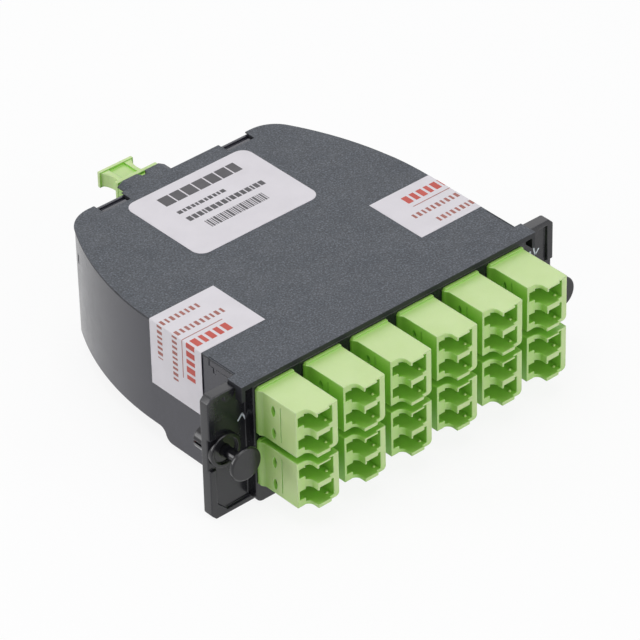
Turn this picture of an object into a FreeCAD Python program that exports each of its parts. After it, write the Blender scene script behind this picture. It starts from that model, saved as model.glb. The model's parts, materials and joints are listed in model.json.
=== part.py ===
import FreeCAD, Part
import os
from math import asin, cos, radians, sin, sqrt

V = FreeCAD.Vector

# Frame: X to the right seen from the front, Y to the back, Z up, in millimetres.
# The origin is midway between the two latch plungers, on the back face of the ears.

# Front panel and its ears
panel_top = 16.0         # ears, above the plunger axis
panel_bottom = -18.3
panel_thick = 2.9        # at the raised rim of the ears
rim_depth = 0.7          # how far the rim stands proud of the recessed face
rim_side = 2.0           # rim width along the outer edge
rim_end = 1.3            # rim width along the top and bottom edges
rim_gap = 4.4            # half height of the break in the rim beside the plunger
ear_chamfer = 1.3
ear_out = 4.55           # ear's outer edge, outward from the plunger axis
ear_notch_r = 1.5        # half-round lobe that hangs from the top rim
ear_notch_in = 6.35      # lobe centre, inward from the outer edge
ear_notch_drop = 0.4     # lobe centre, below the rim's edge
front_wall = 5.2         # front of the raised wall that the adapters sit on
front_wall_side = 1.3    # how far it reaches past the adapter bodies
front_wall_base = 0.25   # its underside, above the panel's bottom
front_wall_round = 2.0   # its lower corners
lip_reach = 5.3          # lid stands this far in front of the ears' back

# Housing
side_margin = 2.6        # lid's straight side, outward from the outer adapter bodies
side_run = 30.0          # where the straight sides end
side_arc_r = 85.0        # long curve of each side
rear_arc_r = 9.0         # rear corners
rear_y = 75.0            # rear edge of the lid
lid_top = 16.9
lid_thick = 1.4
lid_tab_out = 2.1        # small tabs at the lid's front corners stand out by this
lid_tab_back = -0.3
prong_width = 1.1
prong_length = 4.3       # below the lid's top
edge_step = 0.2          # the tub's wall sits this far inside the lid's edge
lid_edge = 0.4           # lid's edge that shows over the tub's rim
lid_inset = 1.0          # the rest of the lid sits this far inside its edge
seam_gap = 0.3           # shadow gap between the lid's edge and the tub's rim
wall = 2.0
floor_thick = 1.8
tub_bottom_front = -16.4
tub_bottom_rear = -13.1
step_front = 23.9        # where the deep front part of the floor ends
step_back = 28.4
rib_length = 21.0
rib_height = 2.2
rib_thick = 1.0
fit = 0.1                # clearance of one moulded part in another
over = 1.0               # how far a cutting shape reaches past what it cuts
catch_front = 2.0        # outline of the lid's snap catch, seen from the side
catch_mid = 7.2
catch_back = 9.0
catch_drop = 0.8
catch_hook = 1.4
groove_w = 0.25
groove_in = 0.4
corner_slot_z = 8.6
corner_slot_w = 1.0
corner_slot_h = 2.4
corner_slot_turn = 30    # degrees off the X axis

# Rear snap hooks and their notches in the lid
hook_in = 24.2           # hook centre, inward from the lid's straight side
notch_width = 8.5
notch_depth = 3.6
hook_width = 7.4
hook_thick = 1.3
hook_below = 0.6         # the hook's top is this far under the lid's top

# Duplex adapters
columns = 6
column_pitch = 14.4
row_pitch = 14.55
row_mean_z = 0.98
port_pitch = 6.25
body_w = 10.4
body_h = 12.5
body_front = 21.65       # front of the middle of the body, ahead of the ears' back
left_back = 3.25         # the latch side of the mouth stands back by this
left_span = 3.47         # its width
right_back = 0.65
right_span = 2.9
mouth_r = 1.6
body_rear = 8.0
flange_left = 0.7
flange_over = 0.4
flange_front = 6.1
flare_r = 1.1
flange_corner = 0.6
body_round = 1.2         # lower edge on the right
port_left = 2.81         # plug space, left and right of the adapter's centre
port_right = 3.53
port_low = 2.15
port_high = 1.9
port_raise = 0.7
port_raise_left = 1.2
latch_left = 4.48
latch_half = 1.23
ferrule_x = 1.25
web_front = -8.2
web_thick = 2.4
holder_r = 1.5
holder_reach = 3.0
sleeve_r = 0.9
sleeve_bore_r = 0.65
sleeve_length = 6.8
sleeve_clear = 0.05
sleeve_slit = 0.3

# Plugs inside, on the back of the adapters
plug_w = 4.4
plug_back = 15.0
plug_gap = 0.3           # plug's nose behind the sleeve holder
boot_r = 1.6
boot_tail = 0.4          # how much the boot's end stands over the lead
boot_back = 22.0
ferrule_r = 0.62

# Fan-out block, leads and trunk
block_front = 36.0
block_depth = 6.0
block_pitch = 9.0
block_margin = 3.0
lead_r = 0.45
lead_bend = 4.6
lead_straight = 2.6
trunk_r = 1.0
trunk_x = 16.0
trunk_left = -35.0
trunk_z = -6.0
trunk_bend = 12.0
trunk_turn = 6.0
trunk_climb = 8.0
trunk_back = 11.2        # straight run out of the block
post_clear = 0.4
post_height = 9.0
post_wall = 1.5

# Rear multi-fibre adapter and its dust cap
mpo_x = -6.2
mpo_z = 11.2
mpo_w = 12.7
mpo_h = 8.4
mpo_front = 58.0
mpo_back = 79.8
mpo_port_w = 10.2
mpo_port_h = 6.6
mpo_web = 1.6
mpo_plug_tail = 3.0      # inner plug's housing, ahead of the adapter
mpo_ferrule_w = 6.6
mpo_ferrule_h = 2.6
mpo_flange_w = 18.0
mpo_flange_thick = 1.6
cover_half = 7.4         # lid tongue over this adapter
cover_back = 78.8
cover_bevel = 1.8
cover_notch_w = 2.6
cover_notch_d = 1.5
cap_plug_depth = 7.5
cap_flange_h = 9.4
cap_flange_thick = 1.2
cap_wall = 1.0
grip_w = 9.5
grip_waist_w = 7.2
grip_h = 3.8
grip_end = 89.4
grip_rim = 1.0
grip_rim_over = 0.5
grip_rise = 0.8
grip_pocket = 0.5        # depth of the pocket in the grip's faces
grip_border = 1.15       # border left around the pocket

# Latch plungers
plunger_out = 5.7        # plunger axis, outward from the lid's straight side
barrel_r = 3.1
barrel_clear = 0.05
barrel_back = 5.2
barrel_chamfer = 0.5
barrel_slot = 0.8
barrel_slot_front = 0.6  # where the cross slots begin
collar_r = 4.5
collar_thick = 1.3
collar_edge_r = 0.3
collar_cup_r = 3.5
collar_cup_depth = 0.7
stem_r = 1.45
stem_clear = 0.06
knob_r = 4.35
knob_thick = 1.3
knob_edge_r = 0.45
neck_over = 0.9          # neck radius over the stem's
neck_length = 1.0
stem_tip_r = 0.5
knob_clear = 0.9         # knob's back to the collar when pushed home
knob_travel = 5.0

# Labels
paper = 0.12
label_w = 38.0
label_h = 28.6
label_r = 3.0
label_y = 55.4
seal_w = 18.6
seal_on_lid = 19.3
seal_on_wall = 18.2
seal_y = 20.6

# Places that follow from the sizes
ear_face = -panel_thick
bank_half = (columns - 1) / 2 * column_pitch + body_w / 2
side_half = bank_half + side_margin
lid_tab_half = side_half + lid_tab_out
plunger_x = side_half + plunger_out
panel_half = plunger_x + ear_out
hook_x = side_half - hook_in
recess_face = rim_depth - panel_thick
knob_front = collar_thick - recess_face + knob_clear + knob_travel + knob_thick
lid_under = lid_top - lid_thick
rim_top = lid_top - lid_edge - seam_gap
tub_half = side_half - edge_step
columns_x = [(i - (columns - 1) / 2) * column_pitch for i in range(columns)]
rows_z = {"top": row_mean_z + row_pitch / 2, "bottom": row_mean_z - row_pitch / 2}
ports_z = [port_pitch / 2, -port_pitch / 2]


def box(x0, x1, y0, y1, z0, z1):
    """Block between two corners."""
    return Part.makeBox(x1 - x0, y1 - y0, z1 - z0, V(x0, y0, z0))


def rod(x, y0, y1, z, r):
    """Cylinder along Y."""
    return Part.makeCylinder(r, y1 - y0, V(x, y0, z), V(0, 1, 0))


def prism(points, direction):
    """Closed polygon pushed along a direction."""
    wire = Part.makePolygon([V(*p) for p in points] + [V(*points[0])])
    return Part.Face(wire).extrude(V(*direction))


def fuse(shapes):
    """One clean solid from several that touch or overlap."""
    return shapes[0].fuse(shapes[1:]).removeSplitter()


def save(name, shape):
    """Write one node."""
    shape.exportStep("parts/" + name + ".step")


def plan_face(inset, y_front, z):
    """Housing outline in plan, inset from the lid's edge, open side at y_front."""
    half = side_half - inset
    big_r = side_arc_r - inset
    small_r = rear_arc_r - inset
    c1x = side_half - side_arc_r
    c2y = rear_y - rear_arc_r
    c2x = c1x + sqrt((side_arc_r - rear_arc_r) ** 2 - (c2y - side_run) ** 2)
    turn = asin((c2y - side_run) / (side_arc_r - rear_arc_r))
    half_turn = (turn + radians(90)) / 2

    def on_side(angle):
        return c1x + big_r * cos(angle), side_run + big_r * sin(angle)

    def on_corner(angle):
        return c2x + small_r * cos(angle), c2y + small_r * sin(angle)

    start = (half, side_run)
    join = on_side(turn)
    rear = (c2x, rear_y - inset)
    edges = []
    for side in (1, -1):
        mid_side = on_side(turn / 2)
        mid_corner = on_corner(half_turn)
        pts = [(side * p[0], p[1]) for p in (start, mid_side, join, mid_corner, rear)]
        a, b, c, d, e = [V(p[0], p[1], z) for p in pts]
        edges.append(Part.LineSegment(V(side * half, y_front, z), a).toShape())
        edges.append(Part.Arc(a, b, c).toShape())
        edges.append(Part.Arc(c, d, e).toShape())
    edges.append(Part.LineSegment(V(c2x, rear[1], z), V(-c2x, rear[1], z)).toShape())
    edges.append(Part.LineSegment(V(half, y_front, z), V(-half, y_front, z)).toShape())
    return Part.Face(Part.Wire(Part.__sortEdges__(edges)))


def plan_slab(inset, y_front, z0, z1):
    """Housing outline as a slab between two heights."""
    return plan_face(inset, y_front, z0).extrude(V(0, 0, z1 - z0))


def under_step(z_front, z_rear, z_far):
    """Space under the S-shaped step of the floor, open to the back."""
    reach = side_half + wall
    run_y = step_back - step_front
    rise = z_rear - z_front
    r = (run_y ** 2 + rise ** 2) / (4 * rise)
    turn = asin(run_y / (2 * r))
    dy = r * sin(turn / 2)
    dz = r * (1 - cos(turn / 2))
    a = V(-reach, step_front, z_front)
    m = V(-reach, (step_front + step_back) / 2, (z_front + z_rear) / 2)
    b = V(-reach, step_back, z_rear)
    low = Part.Arc(a, V(-reach, step_front + dy, z_front + dz), m)
    high = Part.Arc(m, V(-reach, step_back - dy, z_rear - dz), b)
    far = rear_y + rear_arc_r
    c = V(-reach, far, z_rear)
    d = V(-reach, far, z_far)
    e = V(-reach, step_front, z_far)
    edges = [low.toShape(), high.toShape()]
    edges += [Part.LineSegment(p, q).toShape() for p, q in ((b, c), (c, d), (d, e), (e, a))]
    return Part.Face(Part.Wire(edges)).extrude(V(2 * reach, 0, 0))


def post(x, y, r):
    """Bend limiter that the trunk runs around."""
    z0 = tub_bottom_rear + floor_thick / 2
    height = post_height + floor_thick / 2
    outer = Part.makeCylinder(r, height, V(x, y, z0))
    return outer.cut(Part.makeCylinder(r - post_wall, height, V(x, y, z0 + floor_thick / 2)))


def tub():
    """Lower housing: floor with a step, side and rear walls, open at the front."""
    shell = plan_slab(edge_step, 0, tub_bottom_front, rim_top)
    shell = shell.cut(under_step(tub_bottom_front, tub_bottom_rear, tub_bottom_front - wall))
    room = plan_slab(edge_step + wall, -wall, tub_bottom_front + floor_thick, lid_under + wall)
    raised = under_step(tub_bottom_front + floor_thick, tub_bottom_rear + floor_thick,
                        tub_bottom_front)
    shell = shell.cut(room.cut(raised))
    lid_seat = plan_slab(lid_inset - fit, -wall, lid_under, lid_top)
    half = mpo_w / 2 + fit
    back = rear_y + wall
    slot = box(mpo_x - half, mpo_x + half, rear_y - 2 * wall, back,
               mpo_z - mpo_h / 2 - fit, lid_top)
    half = cover_half + fit
    under_cover = box(mpo_x - half, mpo_x + half, rear_y - 2 * wall, back, lid_under, lid_top)
    shell = shell.cut([lid_seat, slot, under_cover])
    shell = shell.fuse([hook(-1), hook(1)])
    bend_y = block_front + block_depth + trunk_back
    inner_r = trunk_bend - trunk_r - post_clear
    shell = shell.fuse([post(trunk_x - trunk_bend, bend_y, inner_r), mpo_rest()])
    shell = shell.cut([corner_windows()] + catch_outline())
    return shell.removeSplitter()


def hook(side):
    """Snap hook on the rear wall that holds the lid."""
    x = side * hook_x
    y1 = rear_y - edge_step - wall + fit
    y0 = y1 - hook_thick
    z1 = lid_top - hook_below
    z0 = lid_under - 4 * wall
    return box(x - hook_width / 2, x + hook_width / 2, y0, y1, z0, z1)


def mpo_rest():
    """Shelf on the tub's floor that carries the rear adapter."""
    z0 = tub_bottom_rear + floor_thick / 2
    z1 = mpo_z - mpo_h / 2
    y1 = rear_y - edge_step - wall / 2
    y0 = y1 - 3 * wall
    half = mpo_w / 2 - wall
    block = box(mpo_x - half, mpo_x + half, y0, y1, z0, z1)
    return block.cut(box(mpo_x - half + wall, mpo_x + half - wall, y0 - wall, y0 + 2 * wall, z0, z1))


def catch_outline():
    """Grooves in the side walls around the lid's snap catches."""
    w = groove_w
    z_top = rim_top
    z_mid = lid_under - catch_drop
    z_low = z_mid - catch_hook
    strips = [(catch_back - w, catch_back, z_mid, z_top),
              (catch_mid, catch_back, z_mid - w, z_mid),
              (catch_mid, catch_mid + w, z_low, z_mid),
              (catch_mid - 3 * w, catch_mid + w, z_low - w, z_low),
              (catch_front, catch_mid - 4 * w, z_mid - w, z_mid)]
    cuts = []
    for side in (1, -1):
        x0, x1 = sorted((side * (tub_half - groove_in), side * side_half))
        cuts += [box(x0, x1, *strip) for strip in strips]
    return cuts


def corner_windows():
    """Small slot through the wall at each rear corner."""
    cuts = []
    for side in (1, -1):
        x = side * (side_half - rear_arc_r)
        y = rear_y - rear_arc_r / 2
        blade = Part.makeBox(6 * wall, corner_slot_w, corner_slot_h,
                             V(-3 * wall, -corner_slot_w / 2, corner_slot_z))
        turn = corner_slot_turn if side > 0 else 180 - corner_slot_turn
        blade.rotate(V(0, 0, 0), V(0, 0, 1), turn)
        blade.translate(V(x, y - wall, 0))
        cuts.append(blade)
    return cuts[0].fuse(cuts[1])


def lid():
    """Top plate with front tabs, snap notches and the tongue over the rear adapter."""
    edge = plan_slab(0, -lip_reach, lid_top - lid_edge, lid_top)
    plate = plan_slab(lid_inset, -lip_reach, lid_under, lid_top)
    tabs = box(-lid_tab_half, lid_tab_half, -lip_reach, lid_tab_back, lid_under, lid_top)
    cover = box(mpo_x - cover_half, mpo_x + cover_half, rear_y - wall, cover_back,
                lid_under, lid_top)
    for side in (1, -1):
        x = mpo_x + side * cover_half
        bevel = prism([(x - side * cover_bevel, rear_y, lid_top), (x, rear_y, lid_top),
                       (x, rear_y, lid_under + lid_thick / 4)],
                      (0, cover_back - rear_y, 0))
        cover = cover.cut(bevel)
    plate = fuse([plate, edge, tabs, cover])
    half = cover_notch_w / 2
    vee = prism([(mpo_x - half, cover_back, lid_under),
                 (mpo_x + half, cover_back, lid_under),
                 (mpo_x + half / 2, cover_back - cover_notch_d, lid_under),
                 (mpo_x - half / 2, cover_back - cover_notch_d, lid_under)],
                (0, 0, lid_thick))
    plate = plate.cut(vee)
    for side in (1, -1):
        x = side * hook_x
        plate = plate.cut(box(x - notch_width / 2, x + notch_width / 2,
                              rear_y - notch_depth, rear_y + wall, lid_under, lid_top))
    for side in (1, -1):
        x0, x1 = sorted((side * (side_half - edge_step), side * (side_half - edge_step - groove_w)))
        plate = plate.cut(box(x0, x1, lid_tab_back, catch_back, lid_top - lid_edge / 2, lid_top))
    return fuse([plate] + lid_prongs() + lid_ribs())


def lid_prongs():
    """Fingers at the front corners that hang down in front of the panel."""
    out = []
    for side in (1, -1):
        x0, x1 = sorted((side * lid_tab_half, side * (lid_tab_half - prong_width)))
        out.append(box(x0, x1, -lip_reach, ear_face - fit, lid_top - prong_length, lid_under))
    return out


def lid_ribs():
    """Ribs under the lid that locate it between the tub's side walls."""
    out = []
    for side in (1, -1):
        x1 = tub_half - wall - fit
        lo, hi = sorted((side * x1, side * (x1 - rib_thick)))
        y0 = side_run - rib_length
        out.append(box(lo, hi, y0, side_run, lid_under - rib_height, lid_under))
    return out


def ear_front(side):
    """Recess of one ear: the rim stays along the outer, top and bottom edges."""
    outer = panel_half
    x_out = outer - rim_side
    z0 = panel_bottom + rim_end
    z1 = panel_top - rim_end
    deep = ear_face - recess_face
    cut = ear_chamfer + rim_end
    face = prism([(0, ear_face, z0), (side * (x_out - cut), ear_face, z0),
                  (side * x_out, ear_face, z0 + cut), (side * x_out, ear_face, z1),
                  (0, ear_face, z1)], (0, -deep, 0))
    gap_x = sorted((side * (x_out - cut), side * (outer + over)))
    gap = box(gap_x[0], gap_x[1], ear_face, recess_face, -rim_gap, rim_gap)
    lobe = rod(side * (outer - ear_notch_in), ear_face - over, recess_face, z1 - ear_notch_drop,
               ear_notch_r)
    return fuse([face, gap]).cut(lobe)


def faceplate():
    """Front panel with two ears and a raised wall that has twelve adapter windows."""
    outer = panel_half
    cut = ear_chamfer
    low = [(-outer + cut, 0, panel_bottom), (outer - cut, 0, panel_bottom),
           (outer, 0, panel_bottom + cut)]
    high = [(outer, 0, panel_top - cut), (outer - cut, 0, panel_top)]
    mid = lid_tab_half + fit
    top = [(mid, 0, panel_top), (mid, 0, lid_under), (-mid, 0, lid_under), (-mid, 0, panel_top)]
    left = [(-outer + cut, 0, panel_top), (-outer, 0, panel_top - cut),
            (-outer, 0, panel_bottom + cut)]
    plate = prism(low + high + top + left, (0, -panel_thick, 0))
    under_lid = box(-mid, mid, ear_face, recess_face, 0, lid_under)
    plate = plate.cut([ear_front(1), ear_front(-1), under_lid])
    wall_half = bank_half + front_wall_side
    raised = box(-wall_half, wall_half, -front_wall, 0, panel_bottom + front_wall_base, lid_under)
    feet = [e for e in raised.Edges if e.BoundBox.YLength > 1 and e.BoundBox.ZMax < 0]
    plate = fuse([plate, raised.makeFillet(front_wall_round, feet)])
    windows = []
    for z in rows_z.values():
        for x in columns_x:
            windows.append(box(x - body_w / 2 - fit, x + body_w / 2 + fit, -front_wall - over,
                               over, z - body_h / 2 - fit, z + body_h / 2 + fit))
    for side in (1, -1):
        windows.append(rod(side * plunger_x, ear_face - over, over, 0,
                           barrel_r + barrel_clear))
    return plate.cut(windows)


def mouth_cut():
    """What is taken off the front of an adapter's body, seen in plan."""
    x0 = -body_w / 2
    x1 = x0 + left_span
    y0 = -body_front
    y1 = y0 + left_back
    a = V(x0 - over, y0 - over, 0)
    b = V(x0 - over, y1, 0)
    c = V(x1 - mouth_r, y1, 0)
    k = mouth_r * cos(radians(45))
    m = V(x1 - mouth_r + k, y1 - mouth_r + k, 0)
    d = V(x1, y1 - mouth_r, 0)
    e = V(x1, y0 - over, 0)
    edges = [Part.LineSegment(a, b).toShape(), Part.LineSegment(b, c).toShape(),
             Part.Arc(c, m, d).toShape(), Part.LineSegment(d, e).toShape(),
             Part.LineSegment(e, a).toShape()]
    left = Part.Face(Part.Wire(edges)).extrude(V(0, 0, 2 * body_h))
    left.translate(V(0, 0, -body_h))
    right = box(body_w / 2 - right_span, body_w / 2 + over, y0 - over, y0 + right_back,
                -body_h, body_h)
    return [left, right]


def port_space(z, y0, y1):
    """Room for one plug and its latch between two depths."""
    plug = box(-port_left, port_right, y0, y1, z - port_low, z + port_high)
    raised = box(-port_raise_left, port_right, y0, y1, z - port_low, z + port_high + port_raise)
    latch = box(-latch_left, -port_left, y0, y1, z - latch_half, z + latch_half)
    return fuse([plug, raised, latch])


def adapter():
    """Duplex adapter about its own centre: body, flange, two ports each way."""
    h = body_h / 2
    w = body_w / 2
    body = box(-w, w, -body_front, body_rear, -h, h)
    low_right = [e for e in body.Edges if e.BoundBox.YLength > 1 and e.BoundBox.XMin > w - 1e-3
                 and e.BoundBox.ZMax < 0]
    body = body.makeFillet(body_round, low_right)
    flange = box(-w - flange_left, w, -flange_front, -front_wall, -h - flange_over, h + flange_over)
    corners = [e for e in flange.Edges if e.BoundBox.YLength > flange_corner
               and e.BoundBox.XMax < 0]
    flange = flange.makeChamfer(flange_corner, corners)
    flare = prism([(-w, -flange_front - flare_r, -h), (-w - flange_left, -flange_front, -h),
                   (-w, -flange_front, -h)], (0, 0, body_h))
    body = fuse([body, flange, flare])
    body = body.cut(mouth_cut())
    web_back = web_front + web_thick
    rooms = []
    for z in ports_z:
        rooms.append(port_space(z, -body_front - over, web_front))
        rooms.append(port_space(z, web_back, body_rear + over))
    body = body.cut(rooms)
    half = holder_r + fit
    seats = [box(ferrule_x - half, ferrule_x + half, web_front - wall, web_back + wall,
                 z - half, z + half) for z in ports_z]
    return body.cut(seats)


def sleeve_holders():
    """Two short tubes with square feet that hold the sleeves in an adapter's web."""
    web_back = web_front + web_thick
    out = []
    for z in ports_z:
        tube = rod(ferrule_x, web_front - holder_reach, web_back + holder_reach, z, holder_r)
        foot = box(ferrule_x - holder_r, ferrule_x + holder_r, web_front, web_back,
                   z - holder_r, z + holder_r)
        out.append(fuse([tube, foot]).cut(rod(ferrule_x, web_front - 2 * holder_reach,
                                web_back + 2 * holder_reach, z, sleeve_r + sleeve_clear)))
    return out


def sleeves():
    """Two split alignment sleeves of one adapter."""
    mid = web_front + web_thick / 2
    out = []
    for z in ports_z:
        tube = rod(ferrule_x, mid - sleeve_length / 2, mid + sleeve_length / 2, z, sleeve_r)
        tube = tube.cut(rod(ferrule_x, mid - sleeve_length, mid + sleeve_length, z, sleeve_bore_r))
        slit = box(ferrule_x - sleeve_slit / 2, ferrule_x + sleeve_slit / 2,
                   mid - sleeve_length, mid + sleeve_length, z, z + 2 * sleeve_r)
        out.append(tube.cut(slit))
    return Part.makeCompound(out)


def plugs():
    """Two plugs on the back of one adapter, with ferrules in the sleeves."""
    mid = web_front + web_thick / 2
    out = []
    half = plug_w / 2
    for z in ports_z:
        z_mid = z + (port_high + port_raise - port_low) / 2
        start = web_front + web_thick + holder_reach + plug_gap
        housing = box(port_right - fit - plug_w, port_right - fit, start, plug_back,
                      z_mid - half, z_mid + half)
        nose = rod(ferrule_x, mid + fit, start + over, z, ferrule_r)
        boot = Part.makeCone(boot_r, lead_r + boot_tail, boot_back - plug_back,
                             V(ferrule_x, plug_back, z), V(0, 1, 0))
        out.append(fuse([housing, nose, boot]))
    return Part.makeCompound(out)


def run(points, bend, r):
    """Tube along straight runs joined by tangent arcs of one radius."""
    edges = []
    start = V(*points[0])
    for i in range(1, len(points) - 1):
        p = V(*points[i])
        a = (V(*points[i - 1]) - p).normalize()
        b = (V(*points[i + 1]) - p).normalize()
        half = a.getAngle(b) / 2
        back = bend * cos(half) / sin(half)
        mid_dir = (a + b).normalize()
        centre = p + mid_dir * (bend / sin(half))
        p0 = p + a * back
        p1 = p + b * back
        if (p0 - start).Length > 1e-6:
            edges.append(Part.LineSegment(start, p0).toShape())
        edges.append(Part.Arc(p0, centre - mid_dir * bend, p1).toShape())
        start = p1
    edges.append(Part.LineSegment(start, V(*points[-1])).toShape())
    path = Part.Wire(edges)
    first = V(*points[1]) - V(*points[0])
    profile = Part.Wire(Part.makeCircle(r, V(*points[0]), first))
    tube = path.makePipeShell([profile], True, False)
    return tube, path.Length


def leads():
    """Fibre leads from the fan-out block to every plug."""
    out = []
    for row in rows_z.values():
        for dz in ports_z:
            z = row + dz
            for i, x in enumerate(columns_x):
                xb = (i - (columns - 1) / 2) * block_pitch + ferrule_x
                xp = x + ferrule_x
                if abs(xp - xb) < 1e-6:
                    out.append(rod(xp, boot_back, block_front, z, lead_r))
                    continue
                y0 = block_front - lead_straight
                y1 = boot_back + lead_straight
                tube, _ = run([(xb, block_front, z), (xb, y0, z), (xp, y1, z),
                               (xp, boot_back, z)], lead_bend, lead_r)
                out.append(tube)
    return Part.makeCompound(out)


def fan_out_block():
    """Block where the trunk divides into the leads, standing on the floor."""
    half = (columns - 1) / 2 * block_pitch + block_margin
    z_high = rows_z["top"] + port_pitch / 2 + block_margin
    return box(ferrule_x - half, ferrule_x + half, block_front, block_front + block_depth,
               tub_bottom_rear + floor_thick, z_high)


def trunk():
    """Multi-fibre trunk from the fan-out block to the rear plug."""
    y_exit = block_front + block_depth
    y_bend = y_exit + trunk_back
    y_far = y_bend + trunk_bend
    x_left = trunk_left
    y_near = y_bend - trunk_turn
    x_up = mpo_x - trunk_turn - trunk_climb
    z_plug = mpo_z
    edges = []

    def line(a, b):
        edges.append(Part.LineSegment(V(*a), V(*b)).toShape())

    def arc(a, centre, b):
        c = V(*centre)
        mid = (V(*a) - c) + (V(*b) - c)
        mid = mid.normalize() * (V(*a) - c).Length
        edges.append(Part.Arc(V(*a), c + mid, V(*b)).toShape())

    z = trunk_z
    line((trunk_x, y_exit, z), (trunk_x, y_bend, z))
    arc((trunk_x, y_bend, z), (trunk_x - trunk_bend, y_bend, z), (trunk_x - trunk_bend, y_far, z))
    line((trunk_x - trunk_bend, y_far, z), (x_left + trunk_bend, y_far, z))
    arc((x_left + trunk_bend, y_far, z), (x_left + trunk_bend, y_bend, z), (x_left, y_bend, z))
    arc((x_left, y_bend, z), (x_left + trunk_turn, y_bend, z), (x_left + trunk_turn, y_near, z))
    x_rise = x_up - trunk_climb
    line((x_left + trunk_turn, y_near, z), (x_rise, y_near, z))
    low = (x_up, y_near, z + trunk_climb)
    high = (x_up, y_near, z_plug - trunk_climb)
    arc((x_rise, y_near, z), (x_rise, y_near, z + trunk_climb), low)
    line(low, high)
    top = (x_up + trunk_climb, y_near, z_plug)
    arc(high, (x_up + trunk_climb, y_near, z_plug - trunk_climb), top)
    arc(top, (top[0], y_near + trunk_turn, z_plug), (mpo_x, y_near + trunk_turn, z_plug))
    path = Part.Wire(edges)
    profile = Part.Wire(Part.makeCircle(trunk_r, V(trunk_x, y_exit, z), V(0, 1, 0)))
    tube = path.makePipeShell([profile], True, False)
    print("trunk length", round(path.Length, 1), "volume ratio",
          round(tube.Volume / (path.Length * 3.14159265 * trunk_r ** 2), 4))
    return tube


def trunk_end_y():
    """Where the trunk reaches the rear plug's boot."""
    return block_front + block_depth + trunk_back


def mpo_adapter():
    """Rear adapter for the multi-fibre plug, with its flange inside the rear wall."""
    body = box(mpo_x - mpo_w / 2, mpo_x + mpo_w / 2, mpo_front, mpo_back,
               mpo_z - mpo_h / 2, mpo_z + mpo_h / 2)
    wall_in = rear_y - edge_step - wall
    flange = box(mpo_x - mpo_flange_w / 2, mpo_x + mpo_flange_w / 2,
                 wall_in - mpo_flange_thick, wall_in, mpo_z - mpo_h / 2, mpo_z + mpo_h / 2)
    body = fuse([body, flange])
    half_w = mpo_port_w / 2
    half_h = mpo_port_h / 2
    mid = (mpo_front + mpo_back) / 2
    front_room = box(mpo_x - half_w, mpo_x + half_w, mpo_front - over, mid - mpo_web / 2,
                     mpo_z - half_h, mpo_z + half_h)
    back_room = box(mpo_x - half_w, mpo_x + half_w, mid + mpo_web / 2, mpo_back + over,
                    mpo_z - half_h, mpo_z + half_h)
    through = box(mpo_x - mpo_ferrule_w / 2, mpo_x + mpo_ferrule_w / 2, mpo_front, mpo_back,
                  mpo_z - mpo_ferrule_h / 2, mpo_z + mpo_ferrule_h / 2)
    return body.cut([front_room, back_room, through])


def mpo_plug():
    """Multi-fibre plug on the inner side of the rear adapter."""
    mid = (mpo_front + mpo_back) / 2
    half_w = mpo_port_w / 2 - fit
    half_h = mpo_port_h / 2 - fit
    housing = box(mpo_x - half_w, mpo_x + half_w, mpo_front - mpo_plug_tail,
                  mid - mpo_web / 2 - fit, mpo_z - half_h, mpo_z + half_h)
    ferrule = box(mpo_x - mpo_ferrule_w / 2 + fit, mpo_x + mpo_ferrule_w / 2 - fit,
                  mpo_front, mid, mpo_z - mpo_ferrule_h / 2 + fit, mpo_z + mpo_ferrule_h / 2 - fit)
    boot = rod(mpo_x, trunk_end_y(), mpo_front - mpo_plug_tail / 2, mpo_z, 2 * trunk_r)
    return fuse([housing, ferrule, boot])


def dust_cap():
    """Plug, flange and waisted grip that close the rear adapter."""
    half_w = mpo_port_w / 2 - fit
    half_h = mpo_port_h / 2 - fit
    y0 = mpo_back
    plug = box(mpo_x - half_w, mpo_x + half_w, y0 - cap_plug_depth, y0 + cap_flange_thick / 2,
               mpo_z - half_h, mpo_z + half_h)
    plug = plug.cut(box(mpo_x - half_w + cap_wall, mpo_x + half_w - cap_wall,
                        y0 - cap_plug_depth - cap_wall, y0 - cap_wall,
                        mpo_z - half_h + cap_wall, mpo_z + half_h - cap_wall))
    flange = box(mpo_x - mpo_w / 2, mpo_x + mpo_w / 2, y0, y0 + cap_flange_thick,
                 mpo_z - cap_flange_h / 2, mpo_z + cap_flange_h / 2)
    y1 = y0 + cap_flange_thick
    z = mpo_z + grip_rise
    grip = box(mpo_x - grip_w / 2, mpo_x + grip_w / 2, y0 + cap_flange_thick / 2, grip_end,
               z - grip_h / 2, z + grip_h / 2)
    scoops = []
    depth = (grip_w - grip_waist_w) / 2
    span = grip_end - grip_rim - y1
    r = (span ** 2 / 4 + depth ** 2) / (2 * depth)
    mid_y = (y1 + grip_end - grip_rim) / 2
    for side in (1, -1):
        x = mpo_x + side * (grip_w / 2 + r - depth)
        scoops.append(Part.makeCylinder(r, 2 * grip_h, V(x, mid_y, z - grip_h)))
    grip = grip.cut(scoops)
    x_half = grip_waist_w / 2 - grip_border
    for side in (1, -1):
        z0, z1 = sorted((z + side * grip_h / 2, z + side * (grip_h / 2 - grip_pocket)))
        grip = grip.cut(box(mpo_x - x_half, mpo_x + x_half, y1 + grip_border,
                            grip_end - grip_rim, z0, z1))
    rim = box(mpo_x - grip_w / 2 - grip_rim_over, mpo_x + grip_w / 2 + grip_rim_over,
              grip_end - grip_rim, grip_end, z - grip_h / 2 - grip_rim_over / 2,
              z + grip_h / 2 + grip_rim_over / 2)
    return fuse([plug, flange, grip, rim])


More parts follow.
